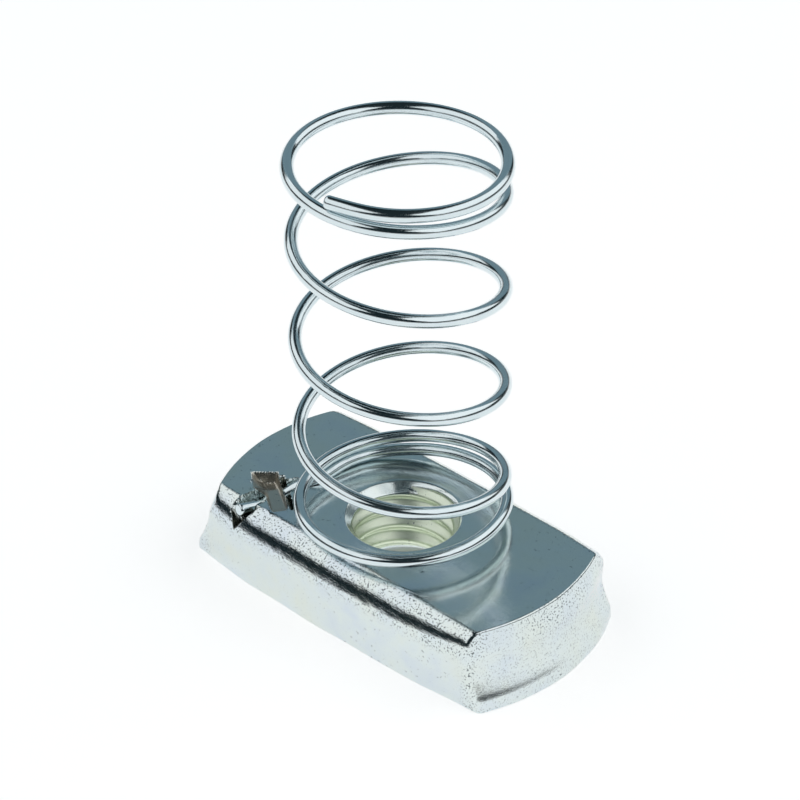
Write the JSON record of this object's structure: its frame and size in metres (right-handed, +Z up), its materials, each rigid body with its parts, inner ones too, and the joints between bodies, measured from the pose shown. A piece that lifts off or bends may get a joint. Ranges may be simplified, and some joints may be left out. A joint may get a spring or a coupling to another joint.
{
  "type": "strut spring nut",
  "caption": "Round-ended steel channel nut with a threaded bore, toothed gripping bands under its ends, and a long wire coil spring staked to its top.",
  "frame": {"origin": "on the bore axis, in the plane of the toothed underside that the nut rests on", "axes": "+X along the nut, +Y across it between the straight sides, +Z up the bore and the spring"},
  "size_m": [0.035, 0.018, 0.04],
  "materials": {
    "zinc_plated_forged_steel": "bright zinc plating over pressed and tumbled steel",
    "zinc_plated_spring_wire": "bright zinc plating over drawn spring wire"
  },
  "bodies": {
    "root": {"nut_body": "zinc_plated_forged_steel", "coil_spring": "zinc_plated_spring_wire"}
  },
  "joints": []
}
